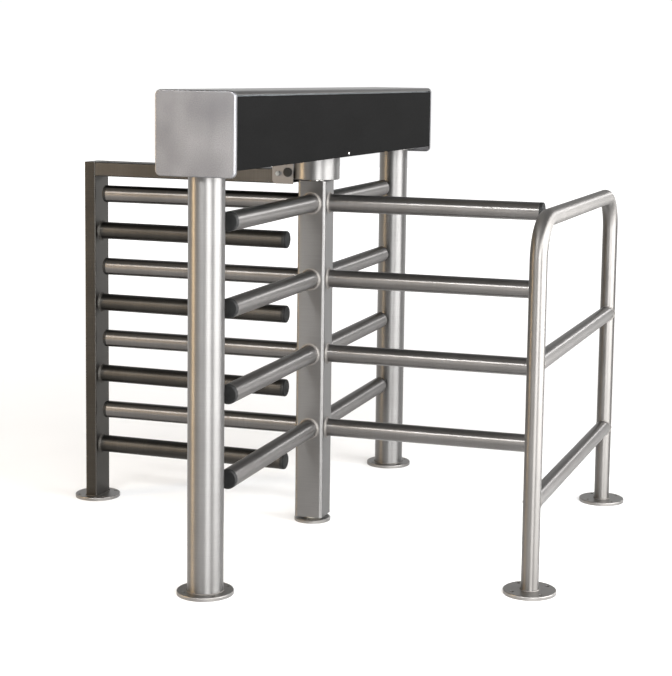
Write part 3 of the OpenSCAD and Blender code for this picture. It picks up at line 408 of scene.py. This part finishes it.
def ground_fillets(name, roots, body, metal, face_x, size=5.5 * MM, sunk=0.4 * MM):
    """Welds ground to a smooth hollow fillet, where round bars along X leave a flat face at
    face_x. roots are (height, turn) pairs; turn swings the root about the rotor's axis."""
    mesh = bmesh.new()
    arc = [(size - size * math.cos(a), ARM_R + size - size * math.sin(a))
           for a in [math.pi / 2 * i / FILLET_STEPS for i in range(FILLET_STEPS + 1)]]
    section = arc + [(size, ARM_R - sunk), (-sunk, ARM_R - sunk), (-sunk, ARM_R + size)]
    # The edges along the ring that stay sharp: all but those inside the arc
    corners = [corner % len(section) for corner in range(FILLET_STEPS, len(section) + 1)]
    for z, turn in roots:
        swing = Matrix.Rotation(turn, 3, "Z")
        rings = [[mesh.verts.new(swing @ Vector((face_x + out, r * math.cos(a),
                                                 z + r * math.sin(a)))) for out, r in section]
                 for a in angles(FILLET_SIDES)]
        join_rings(mesh, rings)
        for i, ring in enumerate(rings):
            for corner in corners:
                mesh.edges.get((rings[i - 1][corner], ring[corner])).smooth = False
    add_weld(name, mesh, metal, body)


BEAD_OUT = 0.6 * MM
QUARTERS = [REST_TURN + k * math.pi / 2 for k in range(4)]
ground_fillets("arm_welds", [(z, turn) for z in ARM_LEVELS for turn in QUARTERS], "rotor", weld,
               COLUMN_HALF)
ground_fillets("comb_bar_welds", [(z - COMB_DROP, 0) for z in ARM_LEVELS], "frame", shaded_comb_weld,
               COMB_FACE_X)
weld_beads("post_foot_welds", [foot_path(POST_X, y, POST_R + BEAD_OUT) for y in (-POST_Y, POST_Y)],
           "frame")
weld_beads("rail_foot_welds", [foot_path(RAIL_X, y, RAIL_R + BEAD_OUT) for y in RAIL_Y], "frame")
weld_beads("rail_bar_welds", [saddle_path(y, z) for y in RAIL_Y for z in RAIL_BARS], "frame")
weld_beads("comb_foot_weld", [comb_foot_path()], "frame", shaded_comb_weld)

WIRE_R = 2.5 * MM
# From the control box's glands to the two solenoids, in millimetres
WIRES = {
    "entry_solenoid_wire": [(-31, -321, 916), (-31, -300, 912), (-36, -230, 900),
                            (-30, -180, 902), (-25, -156, 908)],
    "exit_solenoid_wire": [(19, -321, 916), (30, -300, 912), (60, -220, 900), (68, -120, 899.5),
                           (70, -96, 911), (70.5, 0, 911.5), (69, 100, 906), (62, 175, 900),
                           (25, 172, 903), (25, 156, 908)],
}


def wire(name, points_mm):
    """Round wire through points, as a smooth curve turned into a mesh."""
    curve = bpy.data.curves.new(name, "CURVE")
    curve.dimensions = "3D"
    curve.bevel_depth = WIRE_R
    curve.bevel_resolution = 3
    spline = curve.splines.new("BEZIER")
    spline.bezier_points.add(len(points_mm) - 1)
    for point, place in zip(spline.bezier_points, points_mm):
        point.co = [value * MM for value in place]
        point.handle_left_type = point.handle_right_type = "AUTO"
    holder = bpy.data.objects.new(name, curve)
    mesh = bpy.data.meshes.new_from_object(holder)
    bpy.data.objects.remove(holder)
    add_piece(name, mesh, black_nylon, "frame")


for name, points in WIRES.items():
    wire(name, points)

# Studio floor: matt paper. Its own white shows to the camera and in reflections, grows with the
# distance from the object and keeps the object's shadow
FLOOR_HALF = 14.0
PAPER_TONE = 0.5
PAPER_ROUGHNESS = 0.9
PAPER_DISTANCE = (1.0, 5.0)
PAPER_LIGHT = (0.42, 1.1)

floor_mesh = bpy.data.meshes.new("studio_floor")
floor_corners = [(-1, -1), (1, -1), (1, 1), (-1, 1)]
floor_mesh.from_pydata([(x * FLOOR_HALF, y * FLOOR_HALF, 0) for x, y in floor_corners], [],
                       [(0, 1, 2, 3)])
floor = bpy.data.objects.new("studio_floor", floor_mesh)
bpy.context.scene.collection.objects.link(floor)
paper, paper_tree, paper_shader, paper_place = new_material("studio_paper")
set_inputs(paper_shader, {"Base Color": grey(PAPER_TONE), "Roughness": PAPER_ROUGHNESS,
                          "Specular IOR Level": 0.0, "Emission Color": grey(1.0)})
rays = add_node(paper_tree, "ShaderNodeLightPath").outputs
seen = combine(paper_tree, "MAXIMUM", rays["Is Camera Ray"], rays["Is Glossy Ray"])
seen_or_through = combine(paper_tree, "MAXIMUM", seen, rays["Is Transmission Ray"])
distance = add_node(paper_tree, "ShaderNodeVectorMath", [(0, paper_place)], operation="LENGTH")
own_light = map_range(paper_tree, distance.outputs["Value"], PAPER_DISTANCE, PAPER_LIGHT)
paper_tree.links.new(combine(paper_tree, "MULTIPLY", seen_or_through, own_light),
                     paper_shader.inputs["Emission Strength"])
floor_mesh.materials.append(paper)

# Room: brightness by compass direction, in degrees from +X towards +Y, with white paper behind the
# object and a warmer wall on the left, and darker overhead
ROOM_LIGHT = 1.3
ROOM = [(-180, (1.2, 1.05, 0.85)), (-150, (1.1, 0.98, 0.8)), (-115, (1.0, 0.96, 0.9)),
        (-90, (1.1, 1.1, 1.1)), (0, (0.9, 0.9, 0.9)), (60, (0.9, 0.9, 0.9)),
        (92, (1.02, 1.02, 1.02)), (128, (1.02, 1.02, 1.02)), (150, (1.0, 0.98, 0.95)),
        (180, (1.2, 1.05, 0.85))]
OVERHEAD = [(0.15, 1.0), (0.45, 0.45), (1.0, 0.35)]

world = bpy.data.worlds.new("studio_surround")
bpy.context.scene.world = world
world.use_nodes = True
world_tree = world.node_tree
background = world_tree.nodes["Background"]
direction = add_node(world_tree, "ShaderNodeTexCoord").outputs["Generated"]
heading = add_node(world_tree, "ShaderNodeSeparateXYZ", [("Vector", direction)]).outputs
around = combine(world_tree, "ARCTAN2", heading["Y"], heading["X"])
room = ramp(world_tree, map_range(world_tree, around, (-math.pi, math.pi)),
            [((angle + 180) / 360, [value / ROOM_LIGHT for value in colour] + [1.0])
             for angle, colour in ROOM])
overhead = ramp(world_tree, heading["Z"], [(rise, grey(share)) for rise, share in OVERHEAD])
surround = add_node(world_tree, "ShaderNodeVectorMath", [(0, room), (1, overhead)],
                    operation="MULTIPLY")
world_tree.links.new(surround.outputs[0], background.inputs["Color"])
set_inputs(background, {"Strength": ROOM_LIGHT})


def soft_box(name, place, target, size, watts, colour="ffffff"):
    """Rectangular soft box, with its width and height in metres, turned towards a target."""
    light = bpy.data.lights.new(name, "AREA")
    light.shape = "RECTANGLE"
    light.size, light.size_y = size
    light.energy = watts
    light.color = linear(colour)[:3]
    lamp = bpy.data.objects.new(name, light)
    lamp.location = place
    aim = Vector(target) - Vector(place)
    lamp.rotation_euler = aim.to_track_quat("-Z", "Y").to_euler()
    bpy.context.scene.collection.objects.link(lamp)


# Tall soft boxes that draw the bright lines down the upright tubes, a wide one above the camera for
# the level tubes, and one at the back for the arms and rail bars that point at the camera
soft_box("right_front_soft_box", (2.15, -3.25, 1.1), (0, -0.3, 0.9), (1.7, 2.2), 200)
soft_box("right_soft_box", (1.95, -0.2, 1.1), (0, -0.2, 0.9), (1.9, 2.2), 140)
soft_box("left_warm_soft_box", (-2.7, -1.95, 1.1), (0, -0.6, 0.9), (0.62, 2.2), 62, "ffdaa6")
soft_box("front_strip_box", (-0.3, -3.0, 2.2), (0, -0.3, 0.6), (1.4, 0.42), 76)
soft_box("back_right_soft_box", (1.75, 3.6, 1.75), (0, 0, 0.75), (0.5, 0.6), 17)

# Camera at the photograph's viewpoint, from the fit of the part to the photograph
CAMERA_PLACE = Vector((1.3764, -3.5943, 1.0910))
CAMERA_YAW, CAMERA_PITCH, CAMERA_ROLL = -0.3197, 0.1155, -0.01682
FOCAL_PX, CENTRE_PX = 1608.2, (388.9, 259.0)
FRAME_PX = (672, 676)
SENSOR_MM = 36.0
FARTHEST = 60

forward = Vector((math.sin(CAMERA_YAW) * math.cos(CAMERA_PITCH),
                  math.cos(CAMERA_YAW) * math.cos(CAMERA_PITCH), -math.sin(CAMERA_PITCH)))
level = Vector((math.cos(CAMERA_YAW), -math.sin(CAMERA_YAW), 0))
down = forward.cross(level)
right = math.cos(CAMERA_ROLL) * level + math.sin(CAMERA_ROLL) * down
up = math.sin(CAMERA_ROLL) * level - math.cos(CAMERA_ROLL) * down
camera_data = bpy.data.cameras.new("camera")
camera_data.sensor_fit = "HORIZONTAL"
camera_data.sensor_width = SENSOR_MM
camera_data.lens = FOCAL_PX * SENSOR_MM / FRAME_PX[0]
camera_data.shift_x = (FRAME_PX[0] / 2 - CENTRE_PX[0]) / FRAME_PX[0]
camera_data.shift_y = (CENTRE_PX[1] - FRAME_PX[1] / 2) / FRAME_PX[0]
camera_data.clip_end = FARTHEST
camera = bpy.data.objects.new("camera", camera_data)
facing = Matrix((right, up, -forward)).transposed().to_4x4()
camera.matrix_world = Matrix.Translation(CAMERA_PLACE) @ facing
bpy.context.scene.collection.objects.link(camera)
bpy.context.scene.camera = camera

bpy.context.scene.view_settings.view_transform = "Standard"
